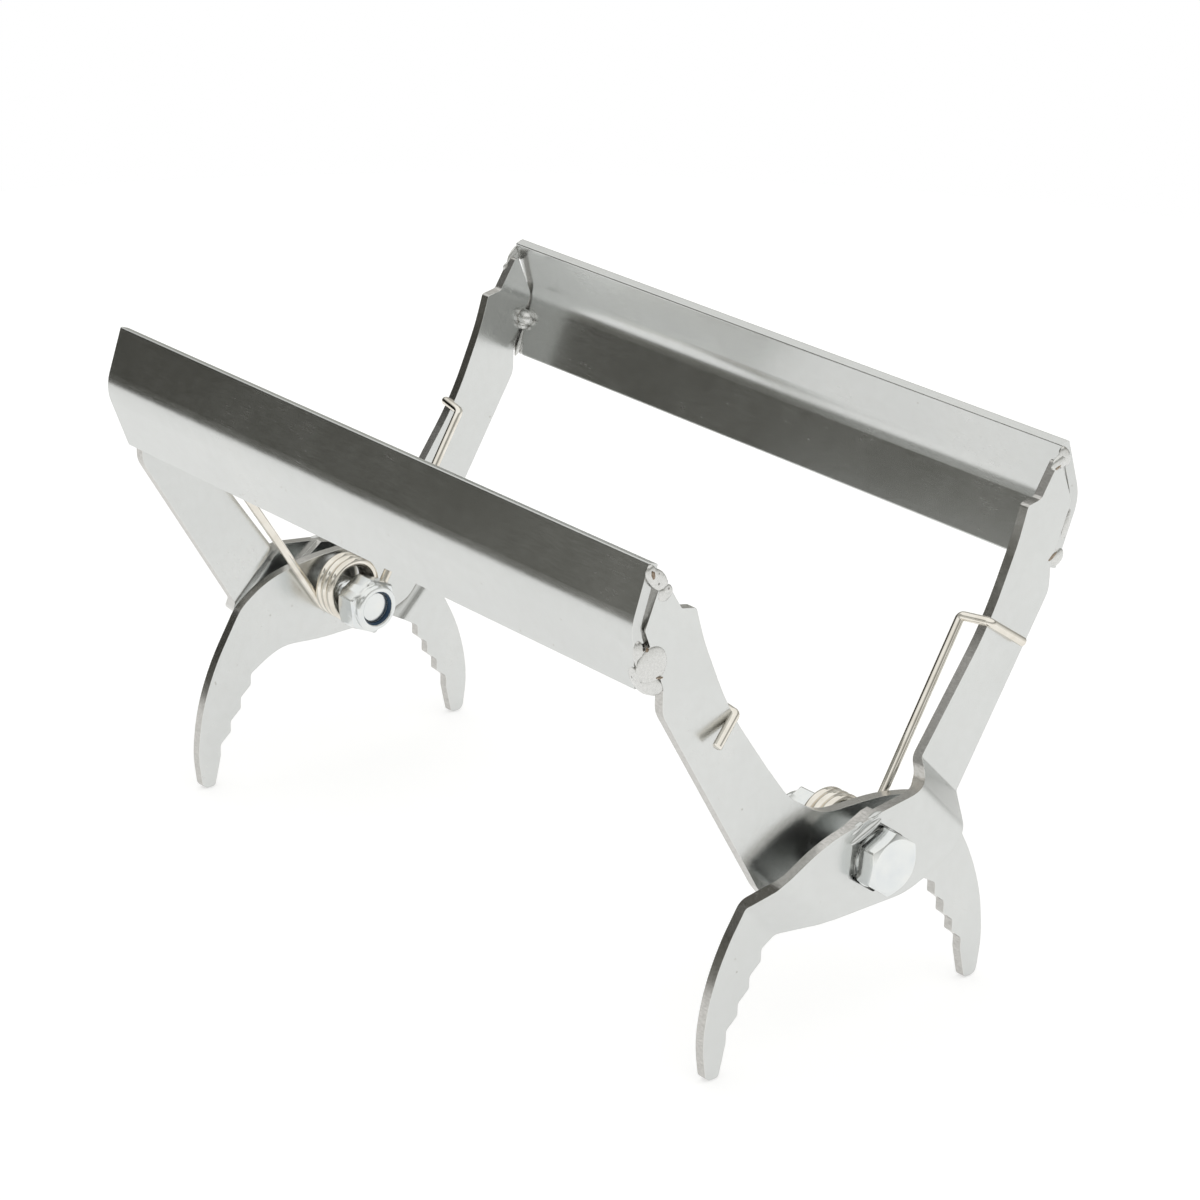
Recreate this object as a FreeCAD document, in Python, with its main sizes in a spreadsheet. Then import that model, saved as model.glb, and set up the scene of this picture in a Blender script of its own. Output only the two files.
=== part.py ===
"""Hive frame grip: two welded scissor halves on two bolts, held open by wire torsion springs.

Frame: X across the two handles, Y along the handle bars, Z up, millimetres.  The origin lies
midway between the four jaw tips, which stand on Z = 0.  The right half carries the handle at +X
and the jaws at -X, and the left half is the same weldment turned half a turn about Z.  At each
end the joggled outer lever belongs to one half and the flat inner lever to the other, so every
piece is drawn once as it stands at the near (-Y) end and placed at both ends.
"""
import FreeCAD, Part
import math
import os

import Sketcher

# Driving dimensions: alias, value in millimetres (or degrees, or a count), what it is.
SIZES = [
    ("overall_length", 191.6, "over the outer faces of the lever plates, along Y"),
    ("bar_length", 190.0, "each V-section handle bar"),
    ("sheet_thickness", 2.5, "bars and levers are pressed from the same sheet"),
    ("pivot_height", 44.4, "pivot axis above the jaw tips"),
    ("bar_top_across", 61.1, "outer corner of the bar's top edge, from the mid-plane"),
    ("bar_top_height", 124.9, "the same corner, above the jaw tips"),
    ("bar_fold_across", 65.8, "outer corner of the bar's fold, from the mid-plane"),
    ("bar_fold_height", 110.6, "the same corner, above the jaw tips"),
    ("bar_bottom_across", 59.6, "outer corner of the bar's bottom edge, from the mid-plane"),
    ("bar_bottom_height", 94.9, "the same corner, above the jaw tips"),
    ("knee_across", 48.6, "lever's inner corner below the bar, from the mid-plane"),
    ("knee_height", 112.4, "the same corner, above the jaw tips"),
    ("knee_step", 4.0, "step back above that corner"),
    ("bar_trim", 5.5, "how far the bar's lower flange is cut back at its inner-lever end"),
    ("tooth_pitch_across", 3.15, "step between jaw teeth, outwards"),
    ("tooth_pitch_down", 5.6, "step between jaw teeth, downwards"),
    ("tooth_drop", 2.9, "height of the upright side of each tooth"),
    ("joggle", 7.6, "how far the outer lever's middle stands out of its plane"),
    ("ramp_angle", 45.0, "slope of the joggle's ramps, and turn of their bend lines"),
    ("arm_bend", 25.2, "pivot axis to the arm's bend line"),
    ("jaw_bend", 26.3, "pivot axis to the jaw's bend line"),
    ("recess_close", 6.9, "pivot axis to the recess's four near walls, round the bolt head"),
    ("recess_wide", 8.4, "pivot axis to its upper left and left walls"),
    ("recess_depth", 1.7, "how deep that recess is pressed"),
    ("hex_turn", 24.0, "turn of the bolt head and its recess"),
    ("bolt_diameter", 8.0, "M8 pivot bolt"),
    ("bolt_length", 26.5, "under the head"),
    ("hex_flats", 13.0, "bolt head and nut, across flats"),
    ("head_height", 5.3, "bolt head"),
    ("pivot_clearance", 0.15, "bolt hole over the bolt's diameter"),
    ("washer_diameter", 13.6, "plain washer under the head"),
    ("washer_thickness", 1.6, "the same washer"),
    ("spacer_diameter", 13.0, "spacer between the two levers"),
    ("running_gap", 0.1, "free play between the spacer and the inner lever"),
    ("nut_height", 8.0, "lock nut with its collar"),
    ("nut_hex_height", 6.2, "hexagonal part of the lock nut"),
    ("collar_diameter", 11.8, "round collar of the lock nut"),
    ("insert_diameter", 10.2, "plastic locking ring in the collar"),
    ("insert_height", 1.6, "the same ring"),
    ("wire_diameter", 2.2, "spring wire"),
    ("coil_radius", 7.2, "middle of the wire in the coil"),
    ("coil_lift", 2.0, "the legs pull the coil up until it bears on the bolt's underside"),
    ("coil_pitch", 2.25, "step from turn to turn"),
    ("whole_turns", 3, "full turns of the coil, besides the part turn below it"),
    ("leg_slope", 55.5, "spring legs, from the horizontal"),
    ("outer_leg_length", 55.6, "from the coil to where the leg hooks round the outer lever's arm"),
    ("inner_leg_length", 53.6, "the same for the inner lever's arm"),
    ("hook_depth", 8.2, "the leg's top end, in from the lever's outer face"),
    ("outer_hook_length", 12.5, "wire across the outer lever's arm"),
    ("inner_hook_length", 9.5, "wire across the inner lever's arm"),
    ("hook_gap", 0.35, "between the hook's bend and the lever's outer face"),
    ("outer_hook_lift", 0.3, "the outer lever's hook, free end off the face beyond that gap"),
    ("inner_hook_lift", 1.4, "the same for the inner lever's hook"),
]

doc = FreeCAD.newDocument("frame_grip")
sheet = doc.addObject("Spreadsheet::Sheet", "sizes")
for row, (alias, value, meaning) in enumerate(SIZES, start=1):
    sheet.set("A%d" % row, meaning)
    sheet.set("B%d" % row, str(value))
    sheet.setAlias("B%d" % row, alias)
doc.recompute()


def size(alias):
    """Value of a driving dimension, read back from the sheet."""
    return float(sheet.get(alias))


def bind(feature, **formulas):
    """Bind properties of a feature to the sheet; a dot in a property's path is written __."""
    for name, formula in formulas.items():
        feature.setExpression(name.replace("__", "."), formula)


# ---------------------------------------------------------------- outlines

def rounded_outline(corners):
    """Lines and tangent arcs of a closed outline, from its corners (x, y, radius)."""
    count = len(corners)
    starts = []
    ends = []
    arcs = []
    for index, (x, y, radius) in enumerate(corners):
        corner = FreeCAD.Vector(x, y, 0)
        before = FreeCAD.Vector(*corners[index - 1][:2], 0) - corner
        after = FreeCAD.Vector(*corners[(index + 1) % count][:2], 0) - corner
        before.normalize()
        after.normalize()
        half_turn = (math.pi - before.getAngle(after)) / 2
        reach = radius * math.tan(half_turn)
        inward = before + after
        if radius == 0 or inward.Length < 1e-6:
            starts.append(corner)
            ends.append(corner)
            continue
        inward.normalize()
        middle = corner + inward * (radius / math.cos(half_turn) - radius)
        starts.append(corner + before * reach)
        ends.append(corner + after * reach)
        arcs.append(Part.Arc(starts[-1], middle, ends[-1]))
    lines = [Part.LineSegment(ends[index - 1], starts[index]) for index in range(count)]
    return lines + arcs


def mirrored(corners):
    """The same outline on the other side of the mid-plane."""
    return [(-x, y, radius) for x, y, radius in corners]


def rectangle(x0, y0, x1, y1):
    """Corners of an upright rectangle."""
    return [(x0, y0, 0), (x1, y0, 0), (x1, y1, 0), (x0, y1, 0)]


def recess_outline(grow):
    """Corners of the recess round the bolt head, its walls moved outwards by this much."""
    close = size("recess_close") + grow
    wide = size("recess_wide") + grow
    walls = [close, wide, wide, close, close, close]
    corners = []
    for index, wall in enumerate(walls):
        facing = math.radians(size("hex_turn") + 30 + 60 * index)
        along = (walls[(index + 1) % 6] - wall * math.cos(math.pi / 3)) / math.sin(math.pi / 3)
        corners.append((wall * math.cos(facing) - along * math.sin(facing),
                        size("pivot_height") + wall * math.sin(facing) + along * math.cos(facing), 0.8))
    return corners


def arm_outline():
    """Arm of a lever at +X: inner edge going up, bar end, outer edge going down."""
    across = size("knee_across")
    height = size("knee_height")
    step = size("knee_step")
    return [
        (27.0, 70.6, 60), (38.6, 87.0, 80), (46.2, 104.5, 60), (across, height, 1.0),
        (across + step, height + 0.8, 1.2),
        (57.9, 121.6, 0.8), (62.4, 110.6, 1.5), (57.0, 96.6, 1.0), (57.0, 90.6, 6),
    ]


def jaw_outline():
    """Jaw of a lever at -X: teeth from the top down, then the tip and the lower outer edge."""
    corners = [(-21.9, 30.2, 0.8)]
    first_across = 26.4
    first_valley = 27.5
    for tooth in range(4):
        across = -(first_across + tooth * size("tooth_pitch_across"))
        valley = first_valley - tooth * size("tooth_pitch_down")
        corners.append((across, valley, 1.2))
        corners.append((across, valley - size("tooth_drop"), 0.8))
    corners += [(-36.9, 3.2, 3), (-37.7, 0, 0.9), (-41.3, 0, 1.9), (-42.6, 9.0, 30)]
    return corners


def outer_lever_outline():
    """The joggled lever: its middle is a little lower and shorter than the flat one."""
    belly = [(28.4, 44.0, 10), (20.5, 37.2, 20), (9.0, 33.2, 20), (-15.5, 33.2, 14)]
    back = [
        (-41.0, 22.0, 50), (-35.4, 32.6, 30), (-31.0, 39.4, 10), (-27.4, 46.0, 6),
        (-15.5, 52.2, 40), (0, 55.1, 60), (17.6, 57.4, 4),
    ]
    return arm_outline() + belly + jaw_outline() + back


def inner_lever_outline():
    """The flat lever: its belly and shoulder keep inside the outer lever's two bends."""
    belly = [(28.4, 42.8, 6), (23.3, 36.3, 9), (13.0, 32.2, 20), (-5.0, 31.8, 60),
             (-16.5, 32.8, 14)]
    back = [
        (-41.2, 21.5, 50), (-36.7, 33.0, 60), (-29.0, 46.0, 12), (-21.0, 51.4, 25),
        (-8.0, 54.2, 60), (9.8, 54.8, 16), (20.2, 61.6, 18),
    ]
    return arm_outline() + belly + jaw_outline() + back


def sheet_profile(first_bend, second_bend):
    """Section of the joggled sheet across its bends, in (distance from the pivot, depth)."""
    thickness = size("sheet_thickness")
    slope = math.radians(size("ramp_angle"))
    run = size("joggle") / math.tan(slope)
    shift = thickness * math.tan(slope / 2)
    tight = 1.5
    soft = 4.5
    reach = 110
    return [
        (reach, 0, 0),
        (first_bend, 0, tight),
        (first_bend - run, -size("joggle"), soft + thickness),
        (run - second_bend, -size("joggle"), soft + thickness),
        (-second_bend, 0, tight),
        (-reach, 0, 0),
        (-reach, thickness, 0),
        (shift - second_bend, thickness, tight + thickness),
        (run + shift - second_bend, thickness - size("joggle"), soft),
        (first_bend - run - shift, thickness - size("joggle"), soft),
        (first_bend - shift, thickness, tight + thickness),
        (reach, thickness, 0),
    ]


# ---------------------------------------------------------------- document helpers

def new_body(label):
    """An empty body whose name and label are the sub-part's name."""
    body = doc.addObject("PartDesign::Body", label)
    body.Label = label
    return body


def origin_plane(body, role):
    """One of the body's own origin planes."""
    return next(plane for plane in body.Origin.OriginFeatures if plane.Role == role)


def add_sketch(body, name, geometry, role="XZ_Plane"):
    """A sketch on an origin plane; on XZ_Plane its axes are X and Z and it faces -Y."""
    sketch = body.newObject("Sketcher::SketchObject", name)
    sketch.AttachmentSupport = [(origin_plane(body, role), "")]
    sketch.MapMode = "FlatFace"
    sketch.addGeometry(geometry, False)
    return sketch


def add_circle(sketch, x, z, formula):
    """A circle in a sketch, with its diameter bound to the sheet."""
    index = sketch.addGeometry(Part.Circle(FreeCAD.Vector(x, z, 0), FreeCAD.Vector(0, 0, 1), 1), False)
    number = sketch.addConstraint(Sketcher.Constraint("Diameter", index, 2.0))
    sketch.setExpression("Constraints[%d]" % number, formula)


def set_depth(sketch, formula):
    """Move an XZ sketch along Y; the plane faces -Y, so its offset is minus the depth."""
    bind(sketch, AttachmentOffset__Base__z="-(%s)" % formula)


def add_pad(body, sketch, formula, inwards=True):
    """Pad a sketch; inwards is +Y for a sketch on XZ_Plane."""
    pad = body.newObject("PartDesign::Pad", sketch.Name + "_pad")
    pad.Profile = sketch
    pad.Reversed = inwards
    bind(pad, Length=formula)
    return pad


def cut_through(body, sketch, reach=60):
    """Cut a sketch out of the whole body, both ways."""
    before = checked_volume(body)
    pocket = body.newObject("PartDesign::Pocket", sketch.Name + "_cut")
    pocket.Profile = sketch
    pocket.SideType = "Symmetric"
    pocket.Type = "Length"
    pocket.Length = reach
    check_cut(body, before)


def checked_volume(body):
    """Volume of the body's newest shape."""
    doc.recompute()
    return body.Tip.Shape.Volume


def check_cut(body, before):
    """A pocket that points away from the solid would cut nothing."""
    if not checked_volume(body) < before - 1e-3:
        raise ValueError("nothing was cut from " + body.Label)


def place_at_end(feature, end):
    """Near pieces stand at -Y; far ones are the same pieces turned half a turn about Z."""
    near = end == "near"
    feature.Placement = FreeCAD.Placement(
        FreeCAD.Vector(0, 0, 0), FreeCAD.Rotation(FreeCAD.Vector(0, 0, 1), 0 if near else 180))
    bind(feature, Placement__Base__y=("-" if near else "") + "sizes.overall_length / 2")


# ---------------------------------------------------------------- pressed sheet pieces

def build_bar(side):
    """Handle bar: a shallow V of sheet, its fold pointing away from the mid-plane."""
    thickness = size("sheet_thickness")
    top = FreeCAD.Vector(size("bar_top_across"), size("bar_top_height"), 0)
    fold = FreeCAD.Vector(size("bar_fold_across"), size("bar_fold_height"), 0)
    bottom = FreeCAD.Vector(size("bar_bottom_across"), size("bar_bottom_height"), 0)
    upper = (fold - top).normalize()
    lower = (bottom - fold).normalize()
    upper_in = FreeCAD.Vector(upper.y, -upper.x, 0)
    lower_in = FreeCAD.Vector(lower.y, -lower.x, 0)
    half_turn = upper.getAngle(lower) / 2
    inner_fold = fold + (upper_in + lower_in).normalize() * (thickness / math.cos(half_turn))
    inner_radius = 8.0
    edge = 0.4
    corners = [
        (top.x, top.y, edge),
        (fold.x, fold.y, inner_radius + thickness),
        (bottom.x, bottom.y, edge),
        ((bottom + lower_in * thickness).x, (bottom + lower_in * thickness).y, edge),
        (inner_fold.x, inner_fold.y, inner_radius),
        ((top + upper_in * thickness).x, (top + upper_in * thickness).y, edge),
    ]
    body = new_body(side + "_handle_bar")
    sketch = add_sketch(body, side + "_bar_section", rounded_outline(corners))
    pad = add_pad(body, sketch, "sizes.bar_length")
    pad.SideType = "Symmetric"
    end = size("bar_length") / 2
    slant = [(end - size("bar_trim"), bottom.y - 0.5, 0), (end + 0.6, fold.y - 1.5, 0),
             (end + 2, fold.y - 1.5, 0), (end + 2, bottom.y - 5, 0),
             (end - size("bar_trim"), bottom.y - 5, 0)]
    trim = add_sketch(body, side + "_bar_trim", rounded_outline(slant), "YZ_Plane")
    cut_through(body, trim, 160)
    if side == "left":
        body.Placement = FreeCAD.Placement(FreeCAD.Vector(), FreeCAD.Rotation(FreeCAD.Vector(0, 0, 1), 180))
    return body


def build_outer_lever(side, end):
    """Lever with a joggled middle: bent sheet, pressed hexagon, then the blanked outline."""
    body = new_body(side + "_outer_lever")
    section = add_sketch(
        body, side + "_outer_section",
        rounded_outline(sheet_profile(size("arm_bend"), size("jaw_bend"))), "XY_Plane")
    section.AttachmentOffset = FreeCAD.Placement(
        FreeCAD.Vector(0, 0, 0), FreeCAD.Rotation(FreeCAD.Vector(0, 1, 0), -size("ramp_angle")))
    bind(section, AttachmentOffset__Base__z="sizes.pivot_height")
    pad = add_pad(body, section, "sizes.overall_length")
    pad.SideType = "Symmetric"

    rim = 1.8
    boss = add_sketch(body, side + "_outer_boss",
                      rounded_outline(recess_outline(rim)))
    set_depth(boss, "sizes.sheet_thickness - sizes.joggle")
    add_pad(body, boss, "sizes.recess_depth")

    blank = rectangle(-200, -120, 200, 260)
    trim = add_sketch(body, side + "_outer_outline",
                      rounded_outline(blank) + rounded_outline(outer_lever_outline()))
    cut_through(body, trim)

    before = checked_volume(body)
    recess = add_sketch(body, side + "_outer_recess", rounded_outline(recess_outline(0)))
    set_depth(recess, "-sizes.joggle")
    pocket = body.newObject("PartDesign::Pocket", side + "_recess_cut")
    pocket.Profile = recess
    bind(pocket, Length="sizes.recess_depth")
    check_cut(body, before)

    hole = add_sketch(body, side + "_outer_hole", [])
    add_circle(hole, 0, size("pivot_height"), "sizes.bolt_diameter + sizes.pivot_clearance")
    cut_through(body, hole)
    place_at_end(body, end)
    return body


def build_inner_lever(side, end):
    """Flat lever, seen from the near end with its arm at -X."""
    body = new_body(side + "_inner_lever")
    outline = add_sketch(body, side + "_inner_outline", rounded_outline(mirrored(inner_lever_outline())))
    add_circle(outline, 0, size("pivot_height"), "sizes.bolt_diameter + sizes.pivot_clearance")
    add_pad(body, outline, "sizes.sheet_thickness")
    place_at_end(body, end)
    return body


# ---------------------------------------------------------------- bolts, nuts and rings

def along_y(feature, depth, end):
    """Put a primitive's axis on the pivot axis, with its base at this depth from the end."""
    near = end == "near"
    turn = FreeCAD.Rotation(FreeCAD.Vector(0, 0, 1), 0 if near else 180)
    upright = FreeCAD.Rotation(FreeCAD.Vector(1, 0, 0), -90)
    feature.Placement = FreeCAD.Placement(FreeCAD.Vector(), turn.multiply(upright))
    sign = "1" if near else "-1"
    bind(feature,
         Placement__Base__y="%s * (%s - sizes.overall_length / 2)" % (sign, depth),
         Placement__Base__z="sizes.pivot_height")
    return feature


def cylinder(name, diameter, height, depth, end):
    """A cylinder on the pivot axis."""
    feature = doc.addObject("Part::Cylinder", name)
    bind(feature, Radius="(%s) / 2" % diameter, Height=height)
    return along_y(feature, depth, end)


def hex_prism(name, flats, height, depth, end):
    """A hexagonal prism on the pivot axis, turned like the recess."""
    feature = doc.addObject("Part::Prism", name)
    feature.Polygon = 6
    bind(feature, Circumradius="(%s) / sqrt(3)" % flats, Height=height)
    along_y(feature, depth, end)
    spin = FreeCAD.Rotation(FreeCAD.Vector(0, 0, 1), -size("hex_turn"))
    feature.Placement.Rotation = feature.Placement.Rotation.multiply(spin)
    return feature


def chamfer_cone(name, height, depth, end, chamfer_end):
    """A cone that takes the corners off one end of a hexagon, at 30 degrees."""
    feature = doc.addObject("Part::Cone", name)
    face = "sizes.hex_flats * 0.475"
    wide = "%s + (%s) * 1.732" % (face, height)
    bind(feature, Height=height,
         Radius1=face if chamfer_end == "outside" else wide,
         Radius2=wide if chamfer_end == "outside" else face)
    return along_y(feature, depth, end)


def boolean(kind, name, base, tool):
    """Cut or common of two features."""
    feature = doc.addObject("Part::" + kind, name)
    feature.Base = base
    feature.Tool = tool
    return feature


def build_bolt(end):
    """Hexagon bolt: chamfered head outside, plain shank through both levers and the nut."""
    depth = "sizes.recess_depth - sizes.joggle - sizes.washer_thickness"
    head_base = "%s - sizes.head_height" % depth
    name = end + "_bolt"
    prism = hex_prism(name + "_hexagon", "sizes.hex_flats", "sizes.head_height", head_base, end)
    cone = chamfer_cone(name + "_cone", "sizes.head_height", head_base, end, "outside")
    head = boolean("Common", name + "_head", prism, cone)
    shank = cylinder(name + "_shank", "sizes.bolt_diameter", "sizes.bolt_length", depth, end)
    bolt = doc.addObject("Part::Fuse", end + "_pivot_bolt")
    bolt.Base = head
    bolt.Tool = shank
    bolt.Label = end + "_pivot_bolt"
    return bolt


def build_ring(label, outside, inside, height, depth, end):
    """A flat ring on the pivot axis."""
    disc = cylinder(label + "_disc", outside, height, depth, end)
    bore = cylinder(label + "_bore", inside, height, depth, end)
    ring = boolean("Cut", label, disc, bore)
    ring.Label = label
    return ring


def nut_depth():
    """Where the nut starts: past the inner lever and the spring coil."""
    return ("sizes.sheet_thickness + sizes.wire_diameter + 2 * sizes.running_gap"
            " + (sizes.whole_turns + sizes.leg_slope / 180) * sizes.coil_pitch")


def build_nut(end):
    """Lock nut: chamfered hexagon, round collar, bore and a seat for the plastic ring."""
    name = end + "_lock_nut"
    prism = hex_prism(name + "_hexagon", "sizes.hex_flats", "sizes.nut_hex_height", nut_depth(), end)
    cone = chamfer_cone(name + "_cone", "sizes.nut_hex_height", nut_depth(), end, "inside")
    body = boolean("Common", name + "_body", prism, cone)
    collar = cylinder(name + "_collar", "sizes.collar_diameter", "sizes.nut_height", nut_depth(), end)
    whole = doc.addObject("Part::Fuse", name + "_whole")
    whole.Base = body
    whole.Tool = collar
    bore = cylinder(name + "_bore", "sizes.bolt_diameter", "sizes.nut_height", nut_depth(), end)
    bored = boolean("Cut", name + "_bored", whole, bore)
    seat = cylinder(name + "_seat", "sizes.insert_diameter", "sizes.insert_height",
                    "%s + sizes.nut_height - sizes.insert_height" % nut_depth(), end)
    nut = boolean("Cut", name, bored, seat)
    nut.Label = name
    return nut


def build_rings(end):
    """Washer in the recess, spacer between the levers, and the lock nut's plastic ring."""
    hole = "sizes.bolt_diameter"
    washer = build_ring(end + "_washer", "sizes.washer_diameter", hole, "sizes.washer_thickness",
                        "sizes.recess_depth - sizes.joggle - sizes.washer_thickness", end)
    back = "sizes.sheet_thickness + sizes.recess_depth - sizes.joggle"
    spacer = build_ring(end + "_spacer", "sizes.spacer_diameter", hole,
                        "-(%s) - sizes.running_gap" % back, back, end)
    insert = build_ring(end + "_nut_insert", "sizes.insert_diameter", hole, "sizes.insert_height",
                        "%s + sizes.nut_height - sizes.insert_height" % nut_depth(), end)
    return [washer, spacer, insert]


# ---------------------------------------------------------------- springs

def rounded_path(points, radii):
    """Straight runs through 3-D points, joined by tangent arcs of these radii or less."""
    edges = []
    start = points[0]
    for before, corner, after, radius in zip(points, points[1:], points[2:], radii):
        towards = before - corner
        onwards = after - corner
        shorter = min(towards.Length, onwards.Length)
        towards.normalize()
        onwards.normalize()
        half_turn = (math.pi - towards.getAngle(onwards)) / 2
        bend = min(radius, 0.45 * shorter / math.tan(half_turn))
        reach = bend * math.tan(half_turn)
        inward = (towards + onwards).normalize()
        middle = corner + inward * (bend / math.cos(half_turn) - bend)
        arc_start = corner + towards * reach
        edges.append(Part.LineSegment(start, arc_start).toShape())
        start = corner + onwards * reach
        edges.append(Part.Arc(arc_start, middle, start).toShape())
    edges.append(Part.LineSegment(start, points[-1]).toShape())
    return Part.Wire(edges)


def coil_height():
    """Middle of the coil above the jaw tips."""
    return size("pivot_height") + size("coil_lift")


def leg_points(side, lever):
    """One leg of the spring: its cut end, then both bends round the arm's inner edge."""
    slope = math.radians(size("leg_slope"))
    radius = size("coil_radius")
    length = size(lever + "_leg_length")
    across = radius * math.sin(slope) + length * math.cos(slope)
    height = coil_height() - radius * math.cos(slope) + length * math.sin(slope)
    face = -size("wire_diameter") / 2 - size("hook_gap")
    outside = FreeCAD.Vector(side * across, face, height)
    inside = FreeCAD.Vector(side * across, size("hook_depth"), height)
    square_to_leg = FreeCAD.Vector(side * math.sin(slope), 0, -math.cos(slope))
    cut_end = outside + square_to_leg * size(lever + "_hook_length")
    cut_end.y -= size(lever + "_hook_lift")
    return [cut_end, outside, inside]


def coil_points():
    """Corners of the polygon that the coil's arcs run round, from the first leg to the last."""
    slope = size("leg_slope")
    sweep = 360 * size("whole_turns") + 2 * slope
    steps = 14 * int(size("whole_turns"))
    first_depth = size("sheet_thickness") + size("wire_diameter") / 2 + size("running_gap")
    last_depth = first_depth + sweep / 360 * size("coil_pitch")
    radius = size("coil_radius") / math.cos(math.radians(sweep / steps / 2))
    points = []
    for step in range(steps):
        part = (step + 0.5) / steps
        turn = math.radians(slope - 90 - sweep * part)
        points.append(FreeCAD.Vector(
            radius * math.cos(turn),
            first_depth + (last_depth - first_depth) * part,
            coil_height() + radius * math.sin(turn)))
    return points


def build_spring(end):
    """Torsion spring: round wire swept along both legs and the coil between them."""
    first_leg = leg_points(1, "outer")
    last_leg = leg_points(-1, "inner")
    coil = coil_points()
    hook_bend = 2.0
    radii = [hook_bend] * 2 + [size("coil_radius")] * len(coil) + [hook_bend] * 2
    path = rounded_path(first_leg + coil + last_leg[::-1], radii)
    cut_end = first_leg[0]
    direction = first_leg[1] - first_leg[0]
    profile = Part.Wire(Part.Circle(cut_end, direction, size("wire_diameter") / 2).toShape())
    spring = doc.addObject("Part::Feature", end + "_spring")
    spring.Label = end + "_spring"
    spring.Shape = path.makePipeShell([profile], True, False)
    place_at_end(spring, end)
    return spring


# ---------------------------------------------------------------- welds

# Bead on the bar's end: across and height of its middle, then its radius there and its rise.
WELD_BEADS = [
    ("top", 58.6, 121.6, 3.0, 2.5),
    ("lower", 60.0, 101.6, 4.3, 2.6),
    ("toe", 58.6, 95.6, 2.4, 2.2),
]


def bead_on_end(name, end, across, height, reach, rise):
    """A cap of a sphere whose flat side lies on the plane of the bar's end."""
    radius = (reach ** 2 + rise ** 2) / (2 * rise)
    sunk = radius - rise
    bead = doc.addObject("Part::Sphere", name)
    bead.Radius = radius
    bead.Angle1 = math.degrees(math.asin(sunk / radius))
    near = end == "near"
    bead.Placement = FreeCAD.Placement(
        FreeCAD.Vector(across, 0, height), FreeCAD.Rotation(FreeCAD.Vector(1, 0, 0), 90 if near else -90))
    bind(bead, Placement__Base__y="%s(sizes.bar_length / 2 - %f)" % ("-" if near else "", sunk))
    return bead


def bead_inside(name, end, across, height, radius):
    """A ball in the corner between the lever's inner face and the bar."""
    bead = doc.addObject("Part::Sphere", name)
    bead.Radius = radius
    bead.Placement.Base = FreeCAD.Vector(across, 0, height)
    bind(bead, Placement__Base__y="%s(sizes.overall_length / 2 - sizes.sheet_thickness)" % (
        "-" if end == "near" else ""))
    return bead


def bead_in_trim(name, end, across, height, radius, rise):
    """A ball that fills the slanted end of the bar's lower flange, with its rise beyond the bar."""
    bead = doc.addObject("Part::Sphere", name)
    bead.Radius = radius
    turn = FreeCAD.Rotation(FreeCAD.Vector(0, 0, 1), 180 if end == "near" else 0)
    bead.Placement = FreeCAD.Placement(FreeCAD.Vector(across, 0, height), turn)
    bind(bead, Placement__Base__y="%s(sizes.bar_length / 2 - %f)" % (
        "-" if end == "near" else "", radius - rise))
    return bead


def build_welds(side, end, lever, bar):
    """Weld beads between a lever and its bar, trimmed to the sheet that they lie on."""
    label = "%s_%s_welds" % (side, end)
    turn = 1 if side == "right" else -1
    trimmed = (side, end) in (("left", "near"), ("right", "far"))
    beads = []
    for name, across, height, reach, rise in WELD_BEADS:
        if not trimmed or name == "top":
            beads.append(bead_on_end("%s_%s" % (label, name), end, turn * across, height, reach, rise))
    if trimmed:
        beads.append(bead_in_trim(label + "_lower", end, turn * 60.0, 101.6, 4.3, 2.2))
        beads.append(bead_in_trim(label + "_toe", end, turn * 58.6, 95.6, 2.1, 2.0))
    else:
        beads.append(bead_inside(label + "_inside", end, turn * 60.6, 105.5, 2.4))
    blobs = doc.addObject("Part::Compound", label + "_blobs")
    blobs.Links = beads
    off_lever = boolean("Cut", label + "_off_lever", blobs, lever)
    welds = boolean("Cut", label, off_lever, bar)
    welds.Label = label
    return welds


# ---------------------------------------------------------------- assembly

def build_end(end, outer_side, inner_side, bars):
    """Everything at one end of the bars."""
    outer = build_outer_lever(outer_side, end)
    inner = build_inner_lever(inner_side, end)
    pieces = [outer, inner, build_bolt(end), build_nut(end), build_spring(end)]
    pieces += build_rings(end)
    pieces.append(build_welds(outer_side, end, outer, bars[outer_side]))
    pieces.append(build_welds(inner_side, end, inner, bars[inner_side]))
    return pieces


def check_document():
    """A recompute can leave an object failed without raising."""
    for feature in doc.Objects:
        if "Invalid" in feature.State or "Error" in feature.State:
            raise ValueError("%s: %s" % (feature.Name, feature.State))


def export(pieces):
    """Write each sub-part's shape to its own STEP file."""
    os.makedirs("parts", exist_ok=True)
    for piece in pieces:
        if piece.Shape.isNull() or not piece.Shape.isValid():
            raise ValueError(piece.Label + " has no valid shape")
        if not piece.Shape.Solids:
            raise ValueError(piece.Label + " has no solid")
        piece.Shape.exportStep("parts/%s.step" % piece.Label)
        box = piece.Shape.BoundBox
        print("%-20s %2d solid  %9.1f mm3  X %7.2f %7.2f  Y %7.2f %7.2f  Z %7.2f %7.2f" % (
            piece.Label, len(piece.Shape.Solids), piece.Shape.Volume,
            box.XMin, box.XMax, box.YMin, box.YMax, box.ZMin, box.ZMax))


def main():
    """Build both halves, check them and write the files."""
    bars = {side: build_bar(side) for side in ("right", "left")}
    doc.recompute()
    pieces = list(bars.values())
    pieces += build_end("near", "right", "left", bars)
    pieces += build_end("far", "left", "right", bars)
    doc.recompute()
    check_document()
    export(pieces)


main()
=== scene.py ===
"""Looks of the hive frame grip: metal finishes, springs, fasteners, welds, light and camera."""
import bpy
import math
from mathutils import Matrix, Vector, noise


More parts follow.
